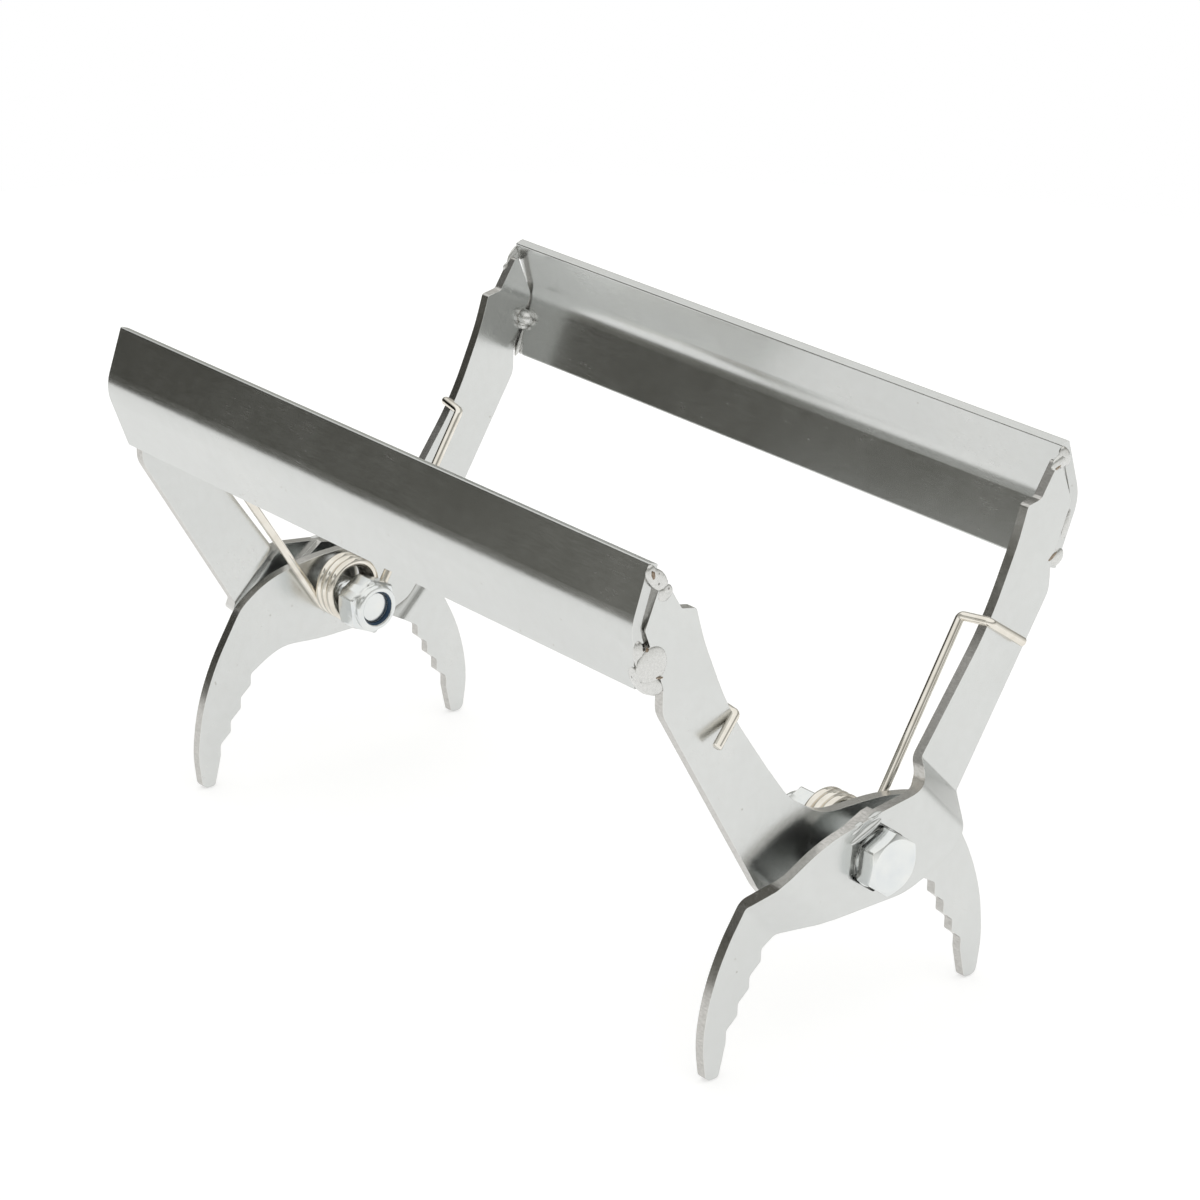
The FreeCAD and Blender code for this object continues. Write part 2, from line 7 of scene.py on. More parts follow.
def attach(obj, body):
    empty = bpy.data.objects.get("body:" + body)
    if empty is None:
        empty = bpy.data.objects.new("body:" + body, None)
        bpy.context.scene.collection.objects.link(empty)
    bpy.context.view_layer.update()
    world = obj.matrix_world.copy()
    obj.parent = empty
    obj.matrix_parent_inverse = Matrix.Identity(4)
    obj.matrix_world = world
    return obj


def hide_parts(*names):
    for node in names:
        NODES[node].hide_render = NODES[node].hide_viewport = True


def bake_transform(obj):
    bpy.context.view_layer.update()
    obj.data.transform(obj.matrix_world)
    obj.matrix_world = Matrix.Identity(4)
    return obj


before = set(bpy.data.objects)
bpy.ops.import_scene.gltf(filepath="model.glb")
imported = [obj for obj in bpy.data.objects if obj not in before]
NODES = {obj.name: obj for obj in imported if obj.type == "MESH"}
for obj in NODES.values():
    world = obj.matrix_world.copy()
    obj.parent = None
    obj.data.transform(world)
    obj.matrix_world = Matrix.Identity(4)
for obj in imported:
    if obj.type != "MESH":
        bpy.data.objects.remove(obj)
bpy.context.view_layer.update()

# Driving sizes of the part, in millimetres; the far end is the near end turned half a turn.
MM = 0.001
PIVOT_HEIGHT = 44.4
END_FACE = -95.8
HEX_TURN = math.radians(24.0)
HEX_FLATS = 13.0
HEX_FACE = HEX_FLATS * 0.475
HEAD_BASE = -7.5
HEAD_HEIGHT = 5.3
BOLT_LENGTH = 26.5
PLAIN_SHANK = 6.9
NUT_BASE = 12.34
NUT_HEX = 6.2
NUT_HEIGHT = 8.0
COLLAR_RADIUS = 5.9
RING_RADIUS = 5.1
RING_HEIGHT = 1.6
SHANK_RADIUS = 4.0
THREAD_PITCH = 1.25
THREAD_DEPTH = 0.62
WIRE_RADIUS = 1.1
WIRE_GAP = 0.35
HOOK_DEPTH = 8.2
HOOK_BEND = 2.0
COIL_RADIUS = 7.2
COIL_HEIGHT = 46.4
COIL_PITCH = 2.25
COIL_START = 3.7
LEG_SLOPE = math.radians(55.5)
OUTER_LEG = 55.6
INNER_LEG = 53.6
SWEEP = math.radians(3 * 360) + 2 * LEG_SLOPE

# Studio, in metres.
FLOOR_RADIUS = 0.62
FLOOR_DROP = 0.0003
BACKDROP_RADIUS = 6


# ---------------------------------------------------------------- places

def at_end(end):
    """From the local space of an end (X, depth inwards, Z, millimetres) to the frame, metres."""
    shift = Matrix.Translation(Vector((0, END_FACE, 0)))
    turn = Matrix.Rotation(0 if end == "near" else math.pi, 4, "Z")
    return Matrix.Scale(MM, 4) @ turn @ shift


def on_pivot(end):
    """The same for a piece turned about the pivot: its own Z becomes depth along the bolt."""
    axis = Matrix(((1, 0, 0, 0), (0, 0, 1, 0), (0, 1, 0, PIVOT_HEIGHT), (0, 0, 0, 1)))
    return at_end(end) @ axis


# ---------------------------------------------------------------- node helpers

def new_material(name):
    """An empty node material with its output and shader."""
    material = bpy.data.materials.new(name)
    material.use_nodes = True
    nodes = material.node_tree.nodes
    nodes.clear()
    output = nodes.new("ShaderNodeOutputMaterial")
    shader = nodes.new("ShaderNodeBsdfPrincipled")
    material.node_tree.links.new(shader.outputs["BSDF"], output.inputs["Surface"])
    return material, shader


def add_node(material, kind, links=(), **values):
    """A node of a material or world, with its settings and (input, other node's output) links."""
    node = material.node_tree.nodes.new(kind)
    for name, value in values.items():
        setattr(node, name, value)
    for entry, socket in links:
        material.node_tree.links.new(socket, node.inputs[entry])
    return node


def mapped(material, stretch):
    """Object coordinates, stretched along each axis."""
    place = add_node(material, "ShaderNodeTexCoord")
    mapping = add_node(material, "ShaderNodeMapping", [("Vector", place.outputs["Object"])])
    mapping.inputs["Scale"].default_value = stretch
    return mapping.outputs["Vector"]


def noise_at(material, vector, scale, detail=4.0, rough=0.55, warp=0.0):
    """Noise of this scale, per metre."""
    node = add_node(material, "ShaderNodeTexNoise", [("Vector", vector)])
    node.inputs["Scale"].default_value = scale
    node.inputs["Detail"].default_value = detail
    node.inputs["Roughness"].default_value = rough
    node.inputs["Distortion"].default_value = warp
    return node.outputs["Fac"]


def ramp(material, value, stops):
    """A colour ramp through (position, colour) stops, where one number stands for a grey."""
    node = add_node(material, "ShaderNodeValToRGB", [("Fac", value)])
    elements = node.color_ramp.elements
    while len(elements) < len(stops):
        elements.new(0.5)
    for element, (position, colour) in zip(elements, stops):
        element.position = position
        element.color = (*colour, 1.0) if len(colour) == 3 else (colour[0],) * 3 + (1.0,)
    return node.outputs["Color"]


def span(material, value, low, high, to_low, to_high):
    """Map a value from one span onto another."""
    node = add_node(material, "ShaderNodeMapRange", [("Value", value)])
    node.inputs["From Min"].default_value = low
    node.inputs["From Max"].default_value = high
    node.inputs["To Min"].default_value = to_low
    node.inputs["To Max"].default_value = to_high
    return node.outputs["Result"]


def combine(material, operation, first, second):
    """Arithmetic on two values, sockets or numbers; ABSOLUTE only uses the first."""
    node = add_node(material, "ShaderNodeMath", operation=operation)
    for index, value in enumerate((first, second)):
        if isinstance(value, (int, float)):
            node.inputs[index].default_value = value
        else:
            material.node_tree.links.new(value, node.inputs[index])
    return node.outputs[0]


def mixed(material, factor, first, second):
    """First colour where the factor is 0, second where it is 1."""
    node = add_node(material, "ShaderNodeMix", data_type="RGBA")
    material.node_tree.links.new(factor, node.inputs[0])
    for index, colour in ((6, first), (7, second)):
        if isinstance(colour, tuple):
            node.inputs[index].default_value = (*colour, 1.0)
        else:
            material.node_tree.links.new(colour, node.inputs[index])
    return node.outputs[2]


def bumped(material, shader, layers, edge=0.0):
    """Bump layers (height, distance in metres, strength) over a softened edge."""
    normal = None
    if edge:
        soft = add_node(material, "ShaderNodeBevel", samples=4)
        soft.inputs["Radius"].default_value = edge
        normal = soft.outputs["Normal"]
    for height, distance, strength in layers:
        bump = add_node(material, "ShaderNodeBump", [("Height", height)])
        bump.inputs["Distance"].default_value = distance
        bump.inputs["Strength"].default_value = strength
        if normal:
            material.node_tree.links.new(normal, bump.inputs["Normal"])
        normal = bump.outputs["Normal"]
    material.node_tree.links.new(normal, shader.inputs["Normal"])


def edge_mask(material, radius):
    """1 along the sharp edges of the piece and 0 on its faces."""
    soft = add_node(material, "ShaderNodeBevel", samples=4)
    soft.inputs["Radius"].default_value = radius
    geometry = add_node(material, "ShaderNodeNewGeometry")
    dot = add_node(material, "ShaderNodeVectorMath", operation="DOT_PRODUCT")
    material.node_tree.links.new(soft.outputs["Normal"], dot.inputs[0])
    material.node_tree.links.new(geometry.outputs["Normal"], dot.inputs[1])
    return span(material, dot.outputs["Value"], 0.995, 0.90, 0.0, 1.0)


def scratches(material, direction, length, width, keep):
    """Thin straight lines: noise drawn out along one direction, kept where a coarser noise allows."""
    place = add_node(material, "ShaderNodeTexCoord")
    turned_place = add_node(material, "ShaderNodeMapping", [("Vector", place.outputs["Object"])])
    turned_place.inputs["Rotation"].default_value = direction
    drawn_out = add_node(material, "ShaderNodeMapping", [("Vector", turned_place.outputs["Vector"])])
    drawn_out.inputs["Scale"].default_value = (1 / length, 1 / width, 1 / width)
    line = span(material, noise_at(material, drawn_out.outputs["Vector"], 1.0, 1.0, 0.4),
                0.70, 0.78, 0.0, 1.0)
    patch = noise_at(material, turned_place.outputs["Vector"], 60.0, 3.0, 0.6)
    allowed = span(material, patch, keep, keep + 0.06, 0.0, 1.0)
    return combine(material, "MULTIPLY", line, allowed)


def specks(material, vector, scale, size):
    """Small round dots, one in each cell of this scale, of which most are left out."""
    cells = add_node(material, "ShaderNodeTexVoronoi", [("Vector", vector)])
    cells.inputs["Scale"].default_value = scale
    dot = span(material, cells.outputs["Distance"], size, size * 0.5, 0.0, 1.0)
    split = add_node(material, "ShaderNodeSeparateColor", [("Color", cells.outputs["Color"])])
    chosen = span(material, split.outputs["Red"], 0.80, 0.82, 0.0, 1.0)
    return combine(material, "MULTIPLY", dot, chosen)


# ---------------------------------------------------------------- materials

def cut_edge_mask(material):
    """1 on the sheared edges of a plate that lies square to Y, and 0 on its faces and bends."""
    place = add_node(material, "ShaderNodeTexCoord")
    split = add_node(material, "ShaderNodeSeparateXYZ", [("Vector", place.outputs["Normal"])])
    facing = combine(material, "ABSOLUTE", split.outputs["Y"], 0.0)
    return span(material, facing, 0.20, 0.35, 1.0, 0.0)


def sheet_steel(name, grain, cut_edges, shade=1.0):
    """Zinc-coated sheet: satin, fine rolled grain, faint clouding, specks and light scratches."""
    material, shader = new_material(name)
    plain = mapped(material, (1, 1, 1))
    rolled = mapped(material, grain)
    clouds = noise_at(material, plain, 38.0, 5.0, 0.6)
    fine = noise_at(material, rolled, 2300.0, 3.0, 0.7)
    mottle = noise_at(material, plain, 420.0, 4.0, 0.65)
    tones = [(0.30, (0.635, 0.645, 0.636)), (0.55, (0.660, 0.670, 0.661)),
             (0.75, (0.680, 0.687, 0.675))]
    base = ramp(material, clouds, [(stop, tuple(part * shade for part in tone))
                                   for stop, tone in tones])
    blotches = span(material, mottle, 0.35, 0.70, 0.0, 1.0)
    grained = mixed(material, combine(material, "MULTIPLY", blotches, 0.30),
                    base, (0.600 * shade, 0.605 * shade, 0.588 * shade))
    dots = specks(material, plain, 300.0, 0.10)
    spotted = mixed(material, combine(material, "MULTIPLY", dots, 0.55), grained, (0.40, 0.38, 0.34))
    marks = scratches(material, (0.3, 0.5, 0.9), 0.007, 0.00030, 0.53)
    scored = mixed(material, combine(material, "MULTIPLY", marks, 0.30), spotted, (0.80, 0.80, 0.79))
    if cut_edges:
        streaks = noise_at(material, mapped(material, (1, 0.25, 1)), 3600.0, 3.0, 0.6)
        sheared = ramp(material, streaks, [(0.30, (0.44, 0.43, 0.41)), (0.70, (0.60, 0.59, 0.57))])
        scored = mixed(material, cut_edge_mask(material), scored, sheared)
    # Lighter along the sharp edges: edge wear, and also a painted highlight on the bright edge rims.
    wear_and_rim_highlight = combine(material, "MULTIPLY", edge_mask(material, 0.00022), 0.7)
    colour = mixed(material, wear_and_rim_highlight, scored, (0.84, 0.84, 0.82))
    material.node_tree.links.new(colour, shader.inputs["Base Color"])
    rough = combine(material, "ADD", span(material, fine, 0.3, 0.7, 0.20, 0.26),
                    span(material, clouds, 0.3, 0.7, -0.02, 0.03))
    material.node_tree.links.new(rough, shader.inputs["Roughness"])
    shader.inputs["Metallic"].default_value = 1.0
    bumped(material, shader, [(clouds, 0.0004, 0.12), (mottle, 0.00002, 0.24),
                              (fine, 0.000005, 0.30)], edge=0.00016)
    return material


def plated_steel():
    """Zinc-plated fasteners: slightly bluish, with faint forging marks."""
    material, shader = new_material("plated_steel")
    plain = mapped(material, (1, 1, 1))
    clouds = noise_at(material, plain, 160.0, 4.0, 0.6)
    fine = noise_at(material, plain, 2600.0, 3.0, 0.6)
    base = ramp(material, clouds, [(0.30, (0.70, 0.725, 0.735)), (0.60, (0.77, 0.785, 0.775)),
                                   (0.80, (0.80, 0.80, 0.77))])
    # Lighter along the sharp edges: edge wear, and also a painted highlight on the bright edge rims.
    wear_and_rim_highlight = combine(material, "MULTIPLY", edge_mask(material, 0.0003), 0.6)
    colour = mixed(material, wear_and_rim_highlight, base, (0.88, 0.87, 0.83))
    material.node_tree.links.new(colour, shader.inputs["Base Color"])
    material.node_tree.links.new(span(material, clouds, 0.3, 0.7, 0.14, 0.24), shader.inputs["Roughness"])
    shader.inputs["Metallic"].default_value = 1.0
    bumped(material, shader, [(clouds, 0.00008, 0.25), (fine, 0.000004, 0.25)], edge=0.00016)
    return material


def spring_wire():
    """Nickel-toned drawn wire: bright, warm, with fine drawing marks."""
    material, shader = new_material("spring_wire")
    plain = mapped(material, (1, 1, 1))
    clouds = noise_at(material, plain, 220.0, 3.0, 0.5)
    drawn = noise_at(material, plain, 3800.0, 2.0, 0.5)
    colour = ramp(material, clouds, [(0.30, (0.70, 0.655, 0.58)), (0.60, (0.80, 0.765, 0.70)),
                                     (0.80, (0.84, 0.81, 0.75))])
    material.node_tree.links.new(colour, shader.inputs["Base Color"])
    material.node_tree.links.new(span(material, drawn, 0.3, 0.7, 0.06, 0.13), shader.inputs["Roughness"])
    shader.inputs["Metallic"].default_value = 1.0
    bumped(material, shader, [(clouds, 0.00003, 0.25), (drawn, 0.000003, 0.2)])
    return material


def weld_metal():
    """Weld beads: silvery and smooth, with a few pits, and painted shade (brownish, partly standing for
    scorch) darkening their creases.
    """
    material, shader = new_material("weld_metal")
    plain = mapped(material, (1, 1, 1))
    lumps = noise_at(material, plain, 420.0, 3.0, 0.5)
    fine = noise_at(material, plain, 1900.0, 3.0, 0.6)
    scorch = noise_at(material, plain, 260.0, 3.0, 0.6, 0.8)
    silver = ramp(material, fine, [(0.30, (0.58, 0.58, 0.565)), (0.60, (0.68, 0.68, 0.665))])
    burnt = ramp(material, scorch, [(0.66, (0.0,)), (0.78, (1.0,))])
    stained = mixed(material, combine(material, "MULTIPLY", burnt, 0.5), silver, (0.40, 0.34, 0.27))
    pits = specks(material, plain, 760.0, 0.26)
    pitted = mixed(material, combine(material, "MULTIPLY", pits, 0.75), stained, (0.10, 0.09, 0.08))
    # Painted shade: ambient occlusion darkens the colour in the creases, brownish so it also stands for
    # scorch at the seams.
    crease_occlusion = add_node(material, "ShaderNodeAmbientOcclusion", samples=6)
    crease_occlusion.inputs["Distance"].default_value = 0.0008
    crease_shade_and_scorch = span(material, crease_occlusion.outputs["AO"], 0.25, 0.62, 0.75, 0.0)
    colour = mixed(material, crease_shade_and_scorch, pitted, (0.22, 0.19, 0.16))
    material.node_tree.links.new(colour, shader.inputs["Base Color"])
    material.node_tree.links.new(span(material, fine, 0.3, 0.7, 0.20, 0.32), shader.inputs["Roughness"])
    shader.inputs["Metallic"].default_value = 1.0
    hollow = combine(material, "MULTIPLY", pits, -1.0)
    bumped(material, shader, [(lumps, 0.00010, 0.30), (hollow, 0.00008, 0.5), (fine, 0.000005, 0.2)])
    return material


def scorched_metal():
    """Weld metal that has stayed brown from the heat."""
    material, shader = new_material("scorched_metal")
    plain = mapped(material, (1, 1, 1))
    clouds = noise_at(material, plain, 900.0, 4.0, 0.6)
    colour = ramp(material, clouds, [(0.35, (0.13, 0.09, 0.06)), (0.65, (0.42, 0.35, 0.28))])
    material.node_tree.links.new(colour, shader.inputs["Base Color"])
    material.node_tree.links.new(span(material, clouds, 0.3, 0.7, 0.25, 0.45), shader.inputs["Roughness"])
    shader.inputs["Metallic"].default_value = 1.0
    bumped(material, shader, [(clouds, 0.00008, 0.4)])
    return material


def blue_nylon():
    """The lock nuts' plastic ring: dark blue, moulded, slightly glossy."""
    material, shader = new_material("blue_nylon")
    plain = mapped(material, (1, 1, 1))
    clouds = noise_at(material, plain, 700.0, 3.0, 0.5)
    colour = ramp(material, clouds, [(0.30, (0.006, 0.026, 0.060)), (0.70, (0.013, 0.052, 0.105))])
    material.node_tree.links.new(colour, shader.inputs["Base Color"])
    material.node_tree.links.new(span(material, clouds, 0.3, 0.7, 0.28, 0.42), shader.inputs["Roughness"])
    bumped(material, shader, [(clouds, 0.00003, 0.3)])
    return material


# ---------------------------------------------------------------- mesh helpers

def add_mesh(name, points, faces, matrix, material, smooth_angle=None):
    """A mesh object in the frame's metres from local points and faces."""
    mesh = bpy.data.meshes.new(name)
    mesh.from_pydata([matrix @ Vector(point) for point in points], [], faces)
    mesh.materials.append(material)
    mesh.validate()
    mesh.shade_smooth()
    if smooth_angle:
        mesh.set_sharp_from_angle(angle=math.radians(smooth_angle))
    piece = bpy.data.objects.new(name, mesh)
    bpy.context.scene.collection.objects.link(piece)
    return piece


def finish_piece(piece, body, slot, *replaced):
    """Ride on a body and stand for the CAD nodes; the finish slot is not used."""
    if body:
        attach(piece, body)
    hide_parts(*replaced)


def skin(rings, closed=False):
    """Faces between rings of points, all of the same count, with end caps unless closed."""
    count = len(rings[0])
    points = [point for ring in rings for point in ring]
    faces = []
    total = len(rings)
    for index in range(total if closed else total - 1):
        here = index * count
        there = (index + 1) % total * count
        for step in range(count):
            following = (step + 1) % count
            faces.append((here + step, here + following, there + following, there + step))
    if not closed:
        faces.append(tuple(range(count))[::-1])
        faces.append(tuple((total - 1) * count + step for step in range(count)))
    return points, faces


def turned(profile, count=96):
    """Rings of a turned shape, from (radius, height) pairs."""
    angles = [2 * math.pi * step / count for step in range(count)]
    return [[(radius * math.cos(a), radius * math.sin(a), height) for a in angles]
            for radius, height in profile]


# ---------------------------------------------------------------- bolt and nut

HEX_STEPS = 16


def hex_angles():
    """Angles round a hexagon, closer together at its corners."""
    angles = []
    for side in range(6):
        for step in range(HEX_STEPS):
            part = step / HEX_STEPS
            eased = part - 0.09 * math.sin(2 * math.pi * part)
            angles.append(HEX_TURN + math.pi / 3 * (side + eased))
    return angles


def hex_radius(angle):
    """Radius of the hexagon's outline, with its corners slightly rounded off."""
    turn = (angle - HEX_TURN) % (math.pi / 3) - math.pi / 6
    corner = HEX_FLATS / 2 / math.cos(math.pi / 6) - 0.12
    return min(HEX_FLATS / 2 / math.cos(turn), corner)


def hex_ring(inset, height, fall=0.0):
    """A ring of the hexagon; fall tilts it by the 30 degree chamfer outside the round face."""
    ring = []
    for angle in hex_angles():
        radius = hex_radius(angle) - inset
        drop = fall * max(radius - HEX_FACE, 0) * math.tan(math.radians(30))
        ring.append((radius * math.cos(angle), radius * math.sin(angle), height + drop))
    return ring


def round_ring(radius, height):
    """A round ring with the hexagon's angles."""
    return [(radius * math.cos(angle), radius * math.sin(angle), height) for angle in hex_angles()]


def head_rings():
    """Bolt head from its outer face inwards: slightly dished face, chamfer, flats, washer face."""
    top = HEAD_BASE - HEAD_HEIGHT
    dish = [round_ring(0.4, top + 0.16), round_ring(2.6, top + 0.15), round_ring(4.6, top + 0.08),
            round_ring(HEX_FACE - 0.35, top + 0.02), round_ring(HEX_FACE - 0.1, top),
            round_ring(HEX_FACE + 0.03, top + 0.05)]
    sides = [hex_ring(0.06, top + 0.02, 1.0), hex_ring(0.0, top + 0.12, 1.0),
             hex_ring(0.0, HEAD_BASE - 0.95), hex_ring(0.07, HEAD_BASE - 0.52),
             hex_ring(0.25, HEAD_BASE - 0.42)]
    washer_face = [round_ring(HEX_FLATS / 2 - 0.35, HEAD_BASE - 0.40),
                   round_ring(HEX_FLATS / 2 - 0.37, HEAD_BASE), round_ring(SHANK_RADIUS, HEAD_BASE)]
    return dish + sides + washer_face


def shank_rings():
    """Plain shank, then thread to the chamfered end."""
    plain_end = HEAD_BASE + PLAIN_SHANK
    tip = HEAD_BASE + BOLT_LENGTH
    rings = [round_ring(SHANK_RADIUS, HEAD_BASE + 0.3), round_ring(SHANK_RADIUS, plain_end)]
    height = plain_end + 0.2
    while height < tip - 0.9:
        ring = []
        for angle in hex_angles():
            phase = (height / THREAD_PITCH - angle / (2 * math.pi)) % 1.0
            radius = SHANK_RADIUS - THREAD_DEPTH * abs(2 * phase - 1.0)
            ring.append((radius * math.cos(angle), radius * math.sin(angle), height))
        rings.append(ring)
        height += THREAD_PITCH / 8
    rings += [round_ring(3.94, tip - 0.34), round_ring(3.72, tip - 0.07), round_ring(3.56, tip),
              round_ring(2.0, tip), round_ring(0.4, tip - 0.05)]
    return rings


def build_bolt(end, body, material):
    """Pivot bolt."""
    points, faces = skin(head_rings() + shank_rings())
    piece = add_mesh(end + "_bolt_skin", points, faces, on_pivot(end), material, 24)
    finish_piece(piece, body, "plated_fasteners", end + "_pivot_bolt")


def build_nut(end, body, material):
    """Lock nut: hexagon with chamfers, round collar crimped over the plastic ring, bore."""
    base = NUT_BASE
    top = NUT_BASE + NUT_HEX
    lip = NUT_BASE + NUT_HEIGHT
    bore = SHANK_RADIUS + 0.02
    seat = RING_RADIUS - 0.02
    hexagon = [round_ring(bore, base + 0.3), round_ring(SHANK_RADIUS + 0.35, base),
               round_ring(HEX_FACE, base), hex_ring(0.05, base + 0.04, 1.0),
               hex_ring(0.0, base + 0.14, 1.0), hex_ring(0.0, top - 0.55),
               hex_ring(0.05, top - 0.34, -0.5), hex_ring(0.5, top - 0.08, -0.4)]
    collar = [round_ring(COLLAR_RADIUS + 0.18, top - 0.02), round_ring(COLLAR_RADIUS, top + 0.2),
              round_ring(COLLAR_RADIUS, lip - 0.95), round_ring(COLLAR_RADIUS - 0.09, lip - 0.5),
              round_ring(COLLAR_RADIUS - 0.33, lip - 0.16), round_ring(COLLAR_RADIUS - 0.68, lip - 0.01),
              round_ring(COLLAR_RADIUS - 0.95, lip), round_ring(4.58, lip - 0.06),
              round_ring(4.42, lip - 0.16), round_ring(4.38, lip - 0.28), round_ring(4.42, lip - 0.42)]
    ring_seat = [round_ring(seat, lip - 0.47), round_ring(seat, lip - RING_HEIGHT),
                 round_ring(bore, lip - RING_HEIGHT)]
    points, faces = skin(hexagon + collar + ring_seat, closed=True)
    piece = add_mesh(end + "_nut_skin", points, faces, on_pivot(end), material, 24)
    finish_piece(piece, body, "plated_fasteners", end + "_lock_nut")


def build_insert(end, body, material):
    """Plastic locking ring, its inner edge rounded towards the bolt's end."""
    lip = NUT_BASE + NUT_HEIGHT
    outer = RING_RADIUS - 0.04
    profile = [(outer, lip - 1.58), (outer, lip - 0.52), (4.60, lip - 0.46), (4.36, lip - 0.44),
               (4.18, lip - 0.52), (4.06, lip - 0.74), (4.02, lip - 1.10), (4.02, lip - 1.58)]
    points, faces = skin(turned(profile), closed=True)
    piece = add_mesh(end + "_ring_skin", points, faces, on_pivot(end), material, 40)
    finish_piece(piece, body, "nylon", end + "_nut_insert")


# ---------------------------------------------------------------- springs

def fillet(before, corner, after, radius, steps=10):
    """Points of the arc that rounds a corner."""
    towards = (before - corner).normalized()
    onwards = (after - corner).normalized()
    half_turn = (math.pi - towards.angle(onwards)) / 2
    reach = radius * math.tan(half_turn)
    inward = (towards + onwards).normalized()
    centre = corner + inward * (radius / math.cos(half_turn))
    start = corner + towards * reach - centre
    finish = corner + onwards * reach - centre
    return [centre + start.slerp(finish, step / steps) for step in range(steps + 1)]


def leg(side, length, hook_length, lift):
    """Points of one leg from its cut end to the coil, bending twice round the arm's edge."""
    across = COIL_RADIUS * math.sin(LEG_SLOPE) + length * math.cos(LEG_SLOPE)
    height = COIL_HEIGHT - COIL_RADIUS * math.cos(LEG_SLOPE) + length * math.sin(LEG_SLOPE)
    outside = Vector((side * across, -WIRE_RADIUS - WIRE_GAP, height))
    inside = Vector((side * across, HOOK_DEPTH, height))
    square_to_leg = Vector((side * math.sin(LEG_SLOPE), 0, -math.cos(LEG_SLOPE)))
    cut_end = outside + square_to_leg * hook_length - Vector((0, lift, 0))
    depth = COIL_START if side > 0 else COIL_START + SWEEP / (2 * math.pi) * COIL_PITCH
    joint = Vector((side * COIL_RADIUS * math.sin(LEG_SLOPE), depth,
                    COIL_HEIGHT - COIL_RADIUS * math.cos(LEG_SLOPE)))
    points = [cut_end]
    points += fillet(cut_end, outside, inside, HOOK_BEND)
    points += fillet(outside, inside, joint, HOOK_BEND)
    last = points[-1]
    points += [last.lerp(joint, step / 24) for step in range(1, 24)]
    return points


def coil():
    """Points of the coil, from the first leg's joint to the last one's."""
    steps = 240
    points = []
    for step in range(steps + 1):
        part = step / steps
        turn = LEG_SLOPE - math.pi / 2 - SWEEP * part
        points.append(Vector((COIL_RADIUS * math.cos(turn),
                              COIL_START + SWEEP / (2 * math.pi) * COIL_PITCH * part,
                              COIL_HEIGHT + COIL_RADIUS * math.sin(turn))))
    return points


def tube_rings(path, radius, count=16):
    """Rings of a round tube along a path, with slightly rounded cut ends."""
    tangents = []
    for index in range(len(path)):
        tangents.append((path[min(index + 1, len(path) - 1)] - path[max(index - 1, 0)]).normalized())
    side = tangents[0].orthogonal().normalized()
    rings = []
    for index, (point, tangent) in enumerate(zip(path, tangents)):
        side = (side - tangent * side.dot(tangent)).normalized()
        other = tangent.cross(side)
        ring = [point + (side * math.cos(2 * math.pi * step / count)
                         + other * math.sin(2 * math.pi * step / count)) * radius
                for step in range(count)]
        rings.append(ring)
        if index in (0, len(path) - 1):
            outwards = tangent * (-1 if index == 0 else 1)
            tip = [point + (spot - point) * 0.86 + outwards * 0.12 for spot in ring]
            if index == 0:
                rings.insert(0, tip)
            else:
                rings.append(tip)
    return rings


def build_spring(end, material):
    """Torsion spring; its legs follow the two halves and the coil turns between them."""
    path = leg(1, OUTER_LEG, 12.5, 0.3) + coil() + leg(-1, INNER_LEG, 9.5, 1.4)[::-1]
    points, faces = skin(tube_rings(path, WIRE_RADIUS))
    piece = add_mesh(end + "_spring_skin", points, faces, at_end(end), material, 50)
    finish_piece(piece, None, "spring_wire", end + "_spring")
    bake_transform(piece)


# ---------------------------------------------------------------- welds

def lump(centre, size, lean, seed, rough, steps=26):
    """A lump of weld: a ball with uneven bulges, leaning about the depth axis."""
    offset = Vector((seed * 7.3, seed * 3.1, seed * 5.7))
    spin = Matrix.Rotation(math.radians(lean), 3, "Y")
    rings = []
    for row in range(1, steps):
        lift = math.pi * row / steps
        ring = []
        for step in range(steps * 2):
            angle = math.pi * step / steps
            way = Vector((math.sin(lift) * math.cos(angle), math.sin(lift) * math.sin(angle),
                          math.cos(lift)))
            bulge = noise.noise(way * 1.6 + offset) * rough * 1.3
            bulge += noise.noise(way * 4.2 + offset) * rough * 0.3
            bulge += noise.noise(way * 9.0 + offset) * rough * 0.10
            spot = Vector((way.x * size[0], way.y * size[1], way.z * size[2])) * (1 + bulge)
            ring.append(Vector(centre) + spin @ spot)
        rings.append(ring)
    return skin(rings)


# Lumps of one bar end: place (X at the arm's side, depth, Z), half sizes, lean, seed, unevenness.
OUTER_LUMPS = [
    ((59.6, 0.5, 121.5), (1.5, 0.9, 2.6), -24, 1.0, 0.03),
    ((58.2, 0.35, 120.6), (2.9, 0.8, 1.7), -20, 2.0, 0.04),
    ((62.0, 1.1, 104.8), (1.1, 0.9, 3.9), 14, 3.0, 0.02),
    ((59.8, 1.1, 97.6), (2.3, 0.9, 2.0), -34, 4.0, 0.03),
    ((60.6, 3.0, 106.2), (1.9, 1.8, 2.4), 10, 5.0, 0.05),
    ((59.2, 2.6, 98.8), (0.8, 1.0, 4.2), 22, 11.0, 0.05),
]
